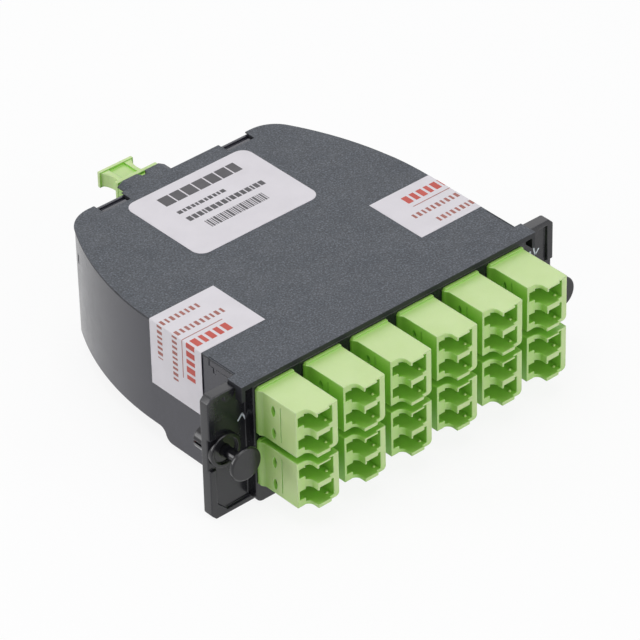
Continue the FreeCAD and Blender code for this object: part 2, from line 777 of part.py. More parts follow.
def grommet(side):
    """Split grommet: cupped collar in front, barrel with four legs behind."""
    x = side * plunger_x
    y0 = recess_face - collar_thick
    collar = rod(x, y0, recess_face, 0, collar_r)
    collar = collar.makeFillet(collar_edge_r, [e for e in collar.Edges if e.BoundBox.YMax < y0 + 1e-3])
    collar = collar.cut(rod(x, y0 - over, y0 + collar_cup_depth, 0, collar_cup_r))
    barrel = rod(x, recess_face - collar_thick / 2, barrel_back, 0, barrel_r)
    end = [e for e in barrel.Edges if e.BoundBox.YMin > barrel_back - 1e-3]
    barrel = barrel.makeChamfer(barrel_chamfer, end)
    body = fuse([collar, barrel])
    body = body.cut(rod(x, y0 - over, barrel_back + over, 0, stem_r + stem_clear))
    half = barrel_slot / 2
    far = barrel_back + over
    cross = [box(x - half, x + half, barrel_slot_front, far, -barrel_r, barrel_r),
             box(x - barrel_r, x + barrel_r, barrel_slot_front, far, -half, half)]
    return body.cut(cross)


def plunger(side):
    """Push-pull plunger, drawn out: round knob, shoulder and stem."""
    x = side * plunger_x
    y0 = -knob_front
    knob = rod(x, y0, y0 + knob_thick, 0, knob_r)
    knob = knob.makeFillet(knob_edge_r, [e for e in knob.Edges if e.BoundBox.XLength > knob_r])
    y1 = y0 + knob_thick
    neck = Part.makeCone(stem_r + neck_over, stem_r, neck_length, V(x, y1, 0), V(0, 1, 0))
    tip = barrel_back
    stem = rod(x, y1 - knob_edge_r, tip, 0, stem_r)
    stem = stem.makeFillet(stem_tip_r, [e for e in stem.Edges if e.BoundBox.YMin > tip - 1e-3])
    return fuse([knob, neck, stem])


def rounded_sheet(x0, x1, y0, y1, z0, z1, r):
    """Thin sheet with rounded corners in plan."""
    sheet = box(x0, x1, y0, y1, z0, z1)
    upright = [e for e in sheet.Edges if e.BoundBox.ZLength > (z1 - z0) / 2]
    return sheet.makeFillet(r, upright)


def main_label():
    """Paper label on the lid."""
    y0 = label_y - label_h / 2
    return rounded_sheet(-label_w / 2, label_w / 2, y0, y0 + label_h, lid_top, lid_top + paper,
                         label_r)


def seal(side):
    """Paper seal that folds over the lid's edge and down the tub's wall."""
    y0 = seal_y - seal_w / 2
    y1 = seal_y + seal_w / 2
    edge = side_half
    xs = sorted((side * (edge - seal_on_lid), side * (edge + paper)))
    top = box(xs[0], xs[1], y0, y1, lid_top, lid_top + paper)
    xs = sorted((side * edge, side * (edge + paper)))
    down = box(xs[0], xs[1], y0, y1, lid_top - seal_on_wall, lid_top)
    return fuse([top, down])


def build():
    """Write every node."""
    os.makedirs("parts", exist_ok=True)
    save("tub", tub())
    save("lid", lid())
    save("faceplate", faceplate())
    one = {"adapter": adapter(), "sleeves": sleeves(), "inner_plugs": plugs()}
    holders = []
    for row, z in rows_z.items():
        for i, x in enumerate(columns_x):
            for tube in sleeve_holders():
                tube.translate(V(x, 0, z))
                holders.append(tube)
            for kind, shape in one.items():
                placed = shape.copy()
                placed.translate(V(x, 0, z))
                save(f"{kind}_{row}_{i + 1}", placed)
    save("sleeve_holders", Part.makeCompound(holders))
    save("fan_out_block", fan_out_block())
    save("fibre_leads", leads())
    save("trunk_fibre", trunk())
    save("mpo_adapter", mpo_adapter())
    save("mpo_plug", mpo_plug())
    save("dust_cap", dust_cap())
    for name, side in (("left", -1), ("right", 1)):
        save(name + "_grommet", grommet(side))
        save(name + "_plunger", plunger(side))
        save(name + "_seal", seal(side))
    save("main_label", main_label())


build()
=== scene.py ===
"""Looks of a slim fibre cassette: housing, panel, ports, plungers and papers."""

import json
import logging
import math
from dataclasses import dataclass
from enum import Enum

import bmesh
import bpy
from mathutils import Euler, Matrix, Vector

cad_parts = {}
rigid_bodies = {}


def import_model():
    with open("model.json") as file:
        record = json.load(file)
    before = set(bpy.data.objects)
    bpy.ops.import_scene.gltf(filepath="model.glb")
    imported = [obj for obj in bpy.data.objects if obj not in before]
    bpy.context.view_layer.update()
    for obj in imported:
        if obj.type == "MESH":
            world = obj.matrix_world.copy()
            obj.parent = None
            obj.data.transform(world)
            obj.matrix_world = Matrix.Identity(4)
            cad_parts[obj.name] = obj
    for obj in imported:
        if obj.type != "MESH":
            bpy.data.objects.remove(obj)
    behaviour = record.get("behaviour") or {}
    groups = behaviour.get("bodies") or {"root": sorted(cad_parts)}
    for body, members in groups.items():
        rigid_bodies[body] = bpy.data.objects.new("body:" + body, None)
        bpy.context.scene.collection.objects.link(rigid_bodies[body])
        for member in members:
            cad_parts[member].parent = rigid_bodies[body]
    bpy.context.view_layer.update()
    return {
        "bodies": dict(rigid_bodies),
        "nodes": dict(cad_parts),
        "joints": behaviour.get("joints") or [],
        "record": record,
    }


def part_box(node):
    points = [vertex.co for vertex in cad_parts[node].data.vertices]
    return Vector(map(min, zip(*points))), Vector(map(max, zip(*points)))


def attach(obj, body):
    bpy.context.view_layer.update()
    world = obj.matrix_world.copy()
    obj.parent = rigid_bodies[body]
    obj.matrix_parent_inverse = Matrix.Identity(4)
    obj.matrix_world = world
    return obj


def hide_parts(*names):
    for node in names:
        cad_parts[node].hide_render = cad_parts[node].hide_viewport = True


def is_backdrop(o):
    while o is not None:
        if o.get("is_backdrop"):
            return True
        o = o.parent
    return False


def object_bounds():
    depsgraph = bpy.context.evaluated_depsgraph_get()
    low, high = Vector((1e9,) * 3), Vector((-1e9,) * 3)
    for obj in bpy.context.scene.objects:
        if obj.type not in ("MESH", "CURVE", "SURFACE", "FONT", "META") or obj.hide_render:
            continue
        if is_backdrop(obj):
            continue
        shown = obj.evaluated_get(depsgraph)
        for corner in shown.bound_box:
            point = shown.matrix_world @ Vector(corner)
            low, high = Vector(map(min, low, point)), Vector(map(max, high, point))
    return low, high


LOG = logging.getLogger("cassette")
MM = 0.001
NODE_SAMPLES = 6
DRIFT_SIZE = 9 * MM
# Size of the noise that breaks up the painted edge highlight and wear.
EDGE_WEAR_AND_HIGHLIGHT_SIZE = 2.5 * MM
SMUDGE_SIZE = 5 * MM
WAVE_SIZE = 4 * MM
WAVE_DEPTH = 0.012 * MM
PAPER_FIBRE = 0.22 * MM
PAPER_CLOUD = 6 * MM
PAPER_RELIEF = 0.006 * MM
COAT_ROUGHNESS = 0.12
SCATTER_SHARES = (0.6, 1.0, 0.25)
SCATTER_REACH = 0.5 * MM
FACETED_BELOW = 30.0
Colour = tuple[float, float, float]
WHITE: Colour = (1.0, 1.0, 1.0)
Rect = tuple[float, float, float, float]


class Body(Enum):
    """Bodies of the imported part."""

    HOUSING = "housing"
    LEFT_PLUNGER = "left_plunger"
    RIGHT_PLUNGER = "right_plunger"
    DUST_CAP = "dust_cap"


class Slot(Enum):
    """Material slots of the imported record."""

    HOUSING = "housing_grey"
    LID = "lid_grey"
    PANEL = "panel_black"
    ADAPTER = "adapter_green"
    SLEEVE = "sleeve_ceramic"
    PLUG = "plug_plastic"
    FIBRE = "fibre_jacket"
    LATCH = "latch_black"
    PAPER = "label_paper"


class Side(Enum):
    """Left or right, as the sign of X."""

    LEFT = -1
    RIGHT = 1


def srgb(red: int, green: int, blue: int) -> Colour:
    """Turns an 8-bit display colour into a linear one.

    Args:
        red: Red, 0 to 255.
        green: Green, 0 to 255.
        blue: Blue, 0 to 255.

    Returns:
        The same colour in linear light.
    """

    def linear(value: int) -> float:
        """One channel in linear light."""
        part = value / 255
        return part / 12.92 if part <= 0.04045 else ((part + 0.055) / 1.055) ** 2.4

    return linear(red), linear(green), linear(blue)


def link_object(name: str, data: bpy.types.ID) -> bpy.types.Object:
    """Makes an object and puts it in the scene.

    Args:
        name: Name of the object.
        data: Its mesh, lamp or camera.

    Returns:
        The new object.
    """
    made = bpy.data.objects.new(name, data)
    bpy.context.scene.collection.objects.link(made)
    return made


def seen_directly(tree: bpy.types.NodeTree) -> bpy.types.NodeSocket:
    """Tells which rays show a white background instead of its light.

    Args:
        tree: Node tree to add to.

    Returns:
        1 for camera, glossy and transmission rays, and 0 for all others.
    """
    rays = tree.nodes.new("ShaderNodeLightPath")
    value = rays.outputs["Is Camera Ray"]
    for other in ("Is Glossy Ray", "Is Transmission Ray"):
        most = tree.nodes.new("ShaderNodeMath")
        most.operation = "MAXIMUM"
        tree.links.new(value, most.inputs[0])
        tree.links.new(rays.outputs[other], most.inputs[1])
        value = most.outputs["Value"]
    return value


def prism(form: bmesh.types.BMesh, first: list[Vector], second: list[Vector]) -> None:
    """Adds a closed form between two outlines with as many corners.

    Args:
        form: Mesh to add to.
        first: Corners of one end.
        second: Corners of the other end.
    """
    near = [form.verts.new(corner) for corner in first]
    far = [form.verts.new(corner) for corner in second]
    form.faces.new(near)
    form.faces.new(list(reversed(far)))
    for i in range(len(near)):
        j = (i + 1) % len(near)
        form.faces.new((near[i], far[i], far[j], near[j]))


class Tree:
    """Short calls for the nodes of one material."""

    def __init__(self, name: str) -> None:
        """Starts a material with one principled shader.

        Args:
            name: Name of the material.
        """
        self.material = bpy.data.materials.new(name)
        self.material.use_nodes = True
        self.nodes = self.material.node_tree.nodes
        self.links = self.material.node_tree.links
        self.nodes.clear()
        self.out = self.nodes.new("ShaderNodeOutputMaterial")
        self.shader = self.nodes.new("ShaderNodeBsdfPrincipled")
        self.links.new(self.shader.outputs["BSDF"], self.out.inputs["Surface"])
        self.place = self.nodes.new("ShaderNodeTexCoord").outputs["Object"]

    def set_shader(self, **numbers: float | Colour) -> None:
        """Sets plain numbers on the shader.

        Args:
            numbers: Values by socket name, with underscores for spaces.
        """
        for key, value in numbers.items():
            self.shader.inputs[key.replace("_", " ")].default_value = value

    def noise(self, size: float, detail: float = 2.0, rough: float = 0.5) -> bpy.types.NodeSocket:
        """Adds a noise whose features are about one size.

        Args:
            size: Feature size in metres.
            detail: Octaves of detail.
            rough: Weight of the finer octaves.

        Returns:
            The noise's value, 0 to 1.
        """
        node = self.nodes.new("ShaderNodeTexNoise")
        node.inputs["Scale"].default_value = 1 / size
        node.inputs["Detail"].default_value = detail
        node.inputs["Roughness"].default_value = rough
        self.links.new(self.place, node.inputs["Vector"])
        return node.outputs["Fac"]

    def ramp(self, value: bpy.types.NodeSocket, low: float, high: float,
             out_low: float = 0.0, out_high: float = 1.0) -> bpy.types.NodeSocket:
        """Maps one range of a value onto another, with ends held.

        Args:
            value: Value to map.
            low: Value that gives out_low.
            high: Value that gives out_high.
            out_low: Result at low.
            out_high: Result at high.

        Returns:
            The mapped value.
        """
        node = self.nodes.new("ShaderNodeMapRange")
        for key, number in (("From Min", low), ("From Max", high),
                            ("To Min", out_low), ("To Max", out_high)):
            node.inputs[key].default_value = number
        self.links.new(value, node.inputs["Value"])
        return node.outputs["Result"]

    def math(self, kind: str, first: bpy.types.NodeSocket,
             second: bpy.types.NodeSocket | float) -> bpy.types.NodeSocket:
        """Joins two values by one sum.

        Args:
            kind: Blender's name of the operation.
            first: First value.
            second: Second value or number.

        Returns:
            The result.
        """
        node = self.nodes.new("ShaderNodeMath")
        node.operation = kind
        self.links.new(first, node.inputs[0])
        if isinstance(second, float):
            node.inputs[1].default_value = second
        else:
            self.links.new(second, node.inputs[1])
        return node.outputs["Value"]

    def blend(self, factor: bpy.types.NodeSocket, first: bpy.types.NodeSocket | Colour,
              second: bpy.types.NodeSocket | Colour) -> bpy.types.NodeSocket:
        """Mixes two colours.

        Args:
            factor: 0 gives the first colour, 1 the second.
            first: First colour.
            second: Second colour.

        Returns:
            The mixed colour.
        """
        node = self.nodes.new("ShaderNodeMix")
        node.data_type = "RGBA"
        self.links.new(factor, node.inputs["Factor"])
        for socket, colour in ((node.inputs[6], first), (node.inputs[7], second)):
            if isinstance(colour, tuple):
                socket.default_value = (*colour, 1.0)
            else:
                self.links.new(colour, socket)
        return node.outputs[2]

    def bump(self, height: bpy.types.NodeSocket, depth: float, strength: float,
             over: bpy.types.NodeSocket | None = None) -> bpy.types.NodeSocket:
        """Raises a surface by a height value.

        Args:
            height: Height, 0 to 1.
            depth: How far 1 stands out, in metres.
            strength: Share of the effect, 0 to 1.
            over: Normal that this one builds on.

        Returns:
            The new normal.
        """
        node = self.nodes.new("ShaderNodeBump")
        node.inputs["Distance"].default_value = depth
        node.inputs["Strength"].default_value = strength
        self.links.new(height, node.inputs["Height"])
        if over is not None:
            self.links.new(over, node.inputs["Normal"])
        return node.outputs["Normal"]

    def edges(self, radius: float) -> tuple[bpy.types.NodeSocket, bpy.types.NodeSocket]:
        """Finds where the surface bends sharply.

        Args:
            radius: How far from an edge the value reaches, in metres.

        Returns:
            A value that is 0 on flat places and up to 1 along edges, and a normal that
            turns softly over the edges.
        """
        soft = self.nodes.new("ShaderNodeBevel")
        soft.samples = NODE_SAMPLES
        soft.inputs["Radius"].default_value = radius
        true = self.nodes.new("ShaderNodeNewGeometry")
        dot = self.nodes.new("ShaderNodeVectorMath")
        dot.operation = "DOT_PRODUCT"
        self.links.new(soft.outputs["Normal"], dot.inputs[0])
        self.links.new(true.outputs["True Normal"], dot.inputs[1])
        return self.ramp(dot.outputs["Value"], 0.995, 0.80), soft.outputs["Normal"]

    def upright(self) -> bpy.types.NodeSocket:
        """Share that is 1 on upright faces and 0 on level ones."""
        geometry = self.nodes.new("ShaderNodeNewGeometry")
        parts = self.nodes.new("ShaderNodeSeparateXYZ")
        self.links.new(geometry.outputs["Normal"], parts.inputs["Vector"])
        rise = self.math("MULTIPLY", parts.outputs["Z"], parts.outputs["Z"])
        return self.ramp(rise, 0.5, 0.15)

    def hollow_shade(self, reach: float) -> bpy.types.NodeSocket:
        """Finds deep places that little light gets into, where painted shade is mixed in.

        Args:
            reach: How far the open space is measured, in metres.

        Returns:
            0 in the open, up to 1 deep inside.
        """
        node = self.nodes.new("ShaderNodeAmbientOcclusion")
        node.samples = NODE_SAMPLES
        node.inputs["Distance"].default_value = reach
        return self.ramp(node.outputs["AO"], 0.93, 0.5)


@dataclass(frozen=True)
class Plastic:
    """Moulded plastic with colour drift, grain, paler edges as painted highlight with some wear,
    painted shade in deep places and on upright faces where set, and uneven gloss.

    Args:
        name: Name of the material.
        colour: Main colour.
        drift: Colour that it drifts towards.
        edge: Colour of the edges: a paler painted highlight, broken up by noise as wear.
        roughness: Lowest and highest roughness.
        grain: Size of the grain in metres.
        grain_depth: Depth of the grain in metres.
        speckle: How strongly the grain shows in the colour.
        edge_share: How strongly the painted edge highlight and wear show.
        edge_reach: How far from an edge its colour and rounding reach, in metres.
        specular: Specular level.
        coat: Weight of a clear coat.
        subsurface: Weight of light scattered inside.
        inside: Painted shade: a deeper colour mixed in between walls that face each other, where
            little light gets in.
        reach: How far apart such walls may stand, in metres.
        side_shade: Painted shade on the upright faces: a darker colour mixed in there, where set.
    """

    name: str
    colour: Colour
    drift: Colour
    edge: Colour
    roughness: tuple[float, float]
    grain: float
    grain_depth: float
    speckle: float = 0.2
    edge_share: float = 0.5
    edge_reach: float = 0.3 * MM
    specular: float = 0.5
    coat: float = 0.0
    subsurface: float = 0.0
    inside: Colour | None = None
    reach: float = 11 * MM
    side_shade: Colour | None = None

    def material(self) -> bpy.types.Material:
        """Builds the node material."""
        tree = Tree(self.name)
        drift = tree.ramp(tree.noise(DRIFT_SIZE, 3.0), 0.35, 0.68)
        base = tree.blend(drift, self.colour, self.drift)
        grain = tree.noise(self.grain, 2.5, 0.6)
        light = tree.ramp(grain, 0.53, 0.68, 0.0, self.speckle)
        dark = tree.ramp(grain, 0.47, 0.34, 0.0, self.speckle)
        pale = tuple(min(1.0, c * 1.9 + 0.02) for c in self.colour)
        deep = tuple(c * 0.45 for c in self.colour)
        base = tree.blend(light, base, pale)
        base = tree.blend(dark, base, deep)
        # Painted highlight with some wear: sharp edges are mixed towards the paler edge colour,
        # broken up by noise.
        edge, soft = tree.edges(self.edge_reach)
        wear_and_highlight = tree.math("MULTIPLY", edge, tree.ramp(
            tree.noise(EDGE_WEAR_AND_HIGHLIGHT_SIZE, 3.0), 0.3, 0.6, 0.55 * self.edge_share, self.edge_share))
        base = tree.blend(wear_and_highlight, base, self.edge)
        # Painted shade: deep places are mixed towards the inside colour.
        if self.inside is not None:
            base = tree.blend(tree.hollow_shade(self.reach), base, self.inside)
        # Painted shade: upright faces are mixed towards a darker colour.
        if self.side_shade is not None:
            base = tree.blend(tree.upright(), base, self.side_shade)
        tree.links.new(base, tree.shader.inputs["Base Color"])
        smudge = tree.noise(SMUDGE_SIZE, 4.0, 0.65)
        tree.links.new(tree.ramp(smudge, 0.3, 0.7, *self.roughness),
                       tree.shader.inputs["Roughness"])
        wave = tree.bump(tree.noise(WAVE_SIZE, 1.0), WAVE_DEPTH, 0.5, soft)
        tree.links.new(tree.bump(grain, self.grain_depth, 1.0, wave),
                       tree.shader.inputs["Normal"])
        tree.set_shader(Specular_IOR_Level=self.specular, Coat_Weight=self.coat,
                        Coat_Roughness=COAT_ROUGHNESS)
        if self.subsurface > 0:
            tree.set_shader(Subsurface_Weight=self.subsurface,
                            Subsurface_Radius=SCATTER_SHARES,
                            Subsurface_Scale=SCATTER_REACH)
        return tree.material


@dataclass(frozen=True)
class Paper:
    """Coated label paper with fine fibres and a slight sheen.

    Args:
        name: Name of the material.
        colour: Main colour.
        drift: Colour that it drifts towards.
        roughness: Lowest and highest roughness.
    """

    name: str
    colour: Colour
    drift: Colour
    roughness: tuple[float, float] = (0.42, 0.6)

    def material(self) -> bpy.types.Material:
        """Builds the node material."""
        tree = Tree(self.name)
        fibres = tree.noise(PAPER_FIBRE, 4.0, 0.7)
        cloud = tree.ramp(tree.noise(PAPER_CLOUD, 3.0), 0.35, 0.7)
        base = tree.blend(cloud, self.colour, self.drift)
        fleck = tuple(c * 0.86 for c in self.drift)
        base = tree.blend(tree.ramp(fibres, 0.55, 0.8, 0.0, 0.35), base, fleck)
        tree.links.new(base, tree.shader.inputs["Base Color"])
        tree.links.new(tree.ramp(fibres, 0.3, 0.7, *self.roughness),
                       tree.shader.inputs["Roughness"])
        tree.links.new(tree.bump(fibres, PAPER_RELIEF, 0.6), tree.shader.inputs["Normal"])
        return tree.material


class Finishes:
    """Every material of the part, made once."""

    def __init__(self) -> None:
        """Builds the materials."""
        # The edge colour of each plastic is a paler painted highlight along its edges, with some
        # wear.
        self.by_slot: dict[Slot, bpy.types.Material] = {
            Slot.HOUSING: Plastic(
                "housing_satin", srgb(50, 50, 60), srgb(45, 45, 55), srgb(112, 113, 124),
                (0.16, 0.26), 0.16 * MM, 0.002 * MM, 0.06, 0.35,
                specular=0.55).material(),
            # The lid's upright faces are painted darker as shade.
            Slot.LID: Plastic(
                "lid_sanded", srgb(66, 70, 77), srgb(62, 66, 73), srgb(112, 116, 124),
                (0.46, 0.6), 0.42 * MM, 0.05 * MM, 0.95, 0.3, 0.2 * MM,
                specular=0.4, side_shade=srgb(30, 31, 36)).material(),
            Slot.PANEL: Plastic(
                "panel_gloss", srgb(32, 32, 37), srgb(27, 27, 32), srgb(96, 97, 104),
                (0.18, 0.3), 0.2 * MM, 0.003 * MM, 0.05, 0.4, 0.35 * MM).material(),
            # The adapters' inside colour is painted shade in their deep places.
            Slot.ADAPTER: Plastic(
                "adapter_lime", srgb(196, 218, 153), srgb(190, 213, 145), srgb(232, 243, 210),
                (0.34, 0.46), 0.2 * MM, 0.002 * MM, 0.03, 0.7, 0.36 * MM,
                specular=0.6, subsurface=0.15, inside=srgb(150, 210, 78)).material(),
            Slot.SLEEVE: Plastic(
                "sleeve_ceramic", srgb(232, 230, 222), srgb(224, 222, 214), srgb(245, 244, 240),
                (0.08, 0.16), 0.1 * MM, 0.001 * MM, 0.03, 0.3, coat=0.4).material(),
            Slot.PLUG: Plastic(
                "plug_moulded", srgb(120, 150, 96), srgb(112, 142, 90), srgb(150, 180, 126),
                (0.35, 0.5), 0.2 * MM, 0.003 * MM, 0.08).material(),
            Slot.FIBRE: Plastic(
                "fibre_jacket", srgb(92, 186, 190), srgb(84, 178, 184), srgb(132, 206, 208),
                (0.3, 0.45), 0.25 * MM, 0.004 * MM, 0.1).material(),
            Slot.LATCH: Plastic(
                "latch_gloss", srgb(24, 24, 28), srgb(20, 20, 24), srgb(128, 130, 138),
                (0.1, 0.2), 0.2 * MM, 0.002 * MM, 0.05, 0.5, 0.25 * MM).material(),
            Slot.PAPER: Paper("label_stock", srgb(216, 212, 217), srgb(211, 207, 212)).material(),
        }
        self.stud = Plastic(
            "stud_polished", srgb(200, 226, 140), srgb(192, 219, 130), srgb(224, 240, 178),
            (0.15, 0.25), 0.1 * MM, 0.001 * MM, 0.02).material()
        self.dark_ink = Paper("ink_dark", srgb(62, 60, 64), srgb(74, 72, 76)).material()
        self.red_ink = Paper("ink_red", srgb(178, 62, 52), srgb(188, 78, 66)).material()
        self.brown_ink = Paper("ink_brown", srgb(150, 88, 78), srgb(158, 98, 88)).material()
        self.white_paint = Paper("paint_white", srgb(225, 232, 238), srgb(214, 222, 230)).material()


def add_piece(name: str, mesh: bpy.types.Mesh, material: bpy.types.Material,
              body: Body) -> bpy.types.Object:
    """Puts a mesh in the scene as a piece of the part.

    Args:
        name: Name of the piece.
        mesh: Its mesh, in the part's frame.
        material: Its material.
        body: Body that it rides on.

    Returns:
        The new object.
    """
    piece = link_object(name, mesh)
    mesh.materials.clear()
    mesh.materials.append(material)
    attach(piece, body.value)
    LOG.info("piece %s: %d faces", name, len(mesh.polygons))
    return piece


def cleaned(source: bpy.types.Object) -> bmesh.types.BMesh:
    """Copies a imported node's mesh with its flat faces whole.

    Args:
        source: The node's object.

    Returns:
        A mesh with welded corners and no edges across flat faces.
    """
    form = bmesh.new()
    form.from_mesh(source.data)
    bmesh.ops.remove_doubles(form, verts=form.verts, dist=0.002 * MM)
    bmesh.ops.dissolve_limit(form, angle_limit=math.radians(0.8), verts=form.verts,
                             edges=form.edges)
    form.normal_update()
    return form


@dataclass(frozen=True)
class EdgeRounder:
    """Rounds the sharp edges of a form wherever there is room for it.

    Args:
        width: Width of the rounding in metres.
        least: Smallest bend that is rounded, in degrees.
        steps: Faces across each rounding.
        tries: How often it may leave out edges that would fold the surface.
        most_crowded: Number of crowded places at which it stops trying.
        room: Shortest neighbour beside an edge, as a multiple of the width.
        clearing: Room kept round a crowded place, as a multiple of the width.
        straight: Cosine between an edge and a neighbour that carries it on.
    """

    width: float
    least: float = 28.0
    steps: int = 2
    tries: int = 6
    most_crowded: int = 400
    room: float = 2.2
    clearing: float = 2.5
    straight: float = -0.87

    def has_room(self, edge: bmesh.types.BMEdge, crowded: list[Vector]) -> bool:
        """Tells if an edge can be rounded without reaching a neighbour.

        Args:
            edge: The edge.
            crowded: Places where an earlier try folded the surface.

        Returns:
            True if both of its ends have room.
        """
        for vert in edge.verts:
            way = (edge.other_vert(vert).co - vert.co).normalized()
            for other in vert.link_edges:
                if other is edge:
                    continue
                turn = (other.other_vert(vert).co - vert.co).normalized()
                if way.dot(turn) > self.straight and other.calc_length() < self.room * self.width:
                    return False
            if any((vert.co - place).length < self.clearing * self.width for place in crowded):
                return False
        return True

    @staticmethod
    def folds(form: bmesh.types.BMesh) -> list[Vector]:
        """Finds where a face is folded over itself.

        Args:
            form: Mesh to look at.

        Returns:
            Corners of the folded places.
        """
        places: list[Vector] = []
        for loops in form.calc_loop_triangles():
            a, b, c = (loop.vert.co for loop in loops)
            normal = (b - a).cross(c - a)
            if normal.length > 2e-10 and normal.normalized().dot(loops[0].face.normal) < 0.5:
                places += [a.copy(), b.copy(), c.copy()]
        return places

    def rounded(self, flat: bmesh.types.BMesh) -> bmesh.types.BMesh:
        """Makes the rounded form.

        Args:
            flat: Form with sharp edges, which is freed.

        Returns:
            The form with rounded edges.
        """
        crowded: list[Vector] = []
        limit = math.radians(self.least)
        for _ in range(self.tries):
            form = flat.copy()
            sharp = [e for e in form.edges if e.is_manifold and e.calc_face_angle() > limit
                     and self.has_room(e, crowded)]
            bmesh.ops.bevel(form, geom=sharp, offset=self.width, offset_type="OFFSET",
                            segments=self.steps, profile=0.5, affect="EDGES",
                            clamp_overlap=False)
            bmesh.ops.remove_doubles(form, verts=form.verts, dist=0.001 * MM)
            form.normal_update()
            folded = self.folds(form)
            if not folded or len(crowded) > self.most_crowded:
                break
            crowded += folded
        flat.free()
        return form


def finished_mesh(name: str, form: bmesh.types.BMesh, smooth_below: float = 40.0) -> bpy.types.Mesh:
    """Turns a working mesh into a shaded one.

    Args:
        name: Name of the mesh.
        form: Working mesh, which is freed.
        smooth_below: Bends under this many degrees are shaded smooth.

    Returns:
        The finished mesh.
    """
    bmesh.ops.recalc_face_normals(form, faces=form.faces)
    limit = math.radians(smooth_below)
    for face in form.faces:
        face.smooth = True
    for edge in form.edges:
        edge.smooth = edge.is_manifold and edge.calc_face_angle() < limit
    mesh = bpy.data.meshes.new(name)
    form.to_mesh(mesh)
    form.free()
    return mesh


def weigh_normals(piece: bpy.types.Object) -> None:
    """Keeps large flat faces flat beside their rounded edges."""
    modifier = piece.modifiers.new("flat_faces", "WEIGHTED_NORMAL")
    modifier.keep_sharp = True
    modifier.weight = 80


@dataclass
class SoftenedNode:
    """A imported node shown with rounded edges.

    Args:
        node: Name of the node.
        slot: Its material slot.
        width: Width of the edge rounding in metres.
        body: Body that it rides on.
    """

    node: str
    slot: Slot
    width: float
    body: Body = Body.HOUSING

    def build(self, frame: dict, finishes: Finishes) -> None:
        """Makes the piece that stands for the node.

        Args:
            frame: The loaded frame.
            finishes: All materials.
        """
        form = EdgeRounder(self.width).rounded(cleaned(frame["nodes"][self.node]))
        mesh = finished_mesh(self.node + "_soft", form)
        piece = add_piece(self.node + "_soft", mesh, finishes.by_slot[self.slot],
                          self.body)
        weigh_normals(piece)
        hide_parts(self.node)


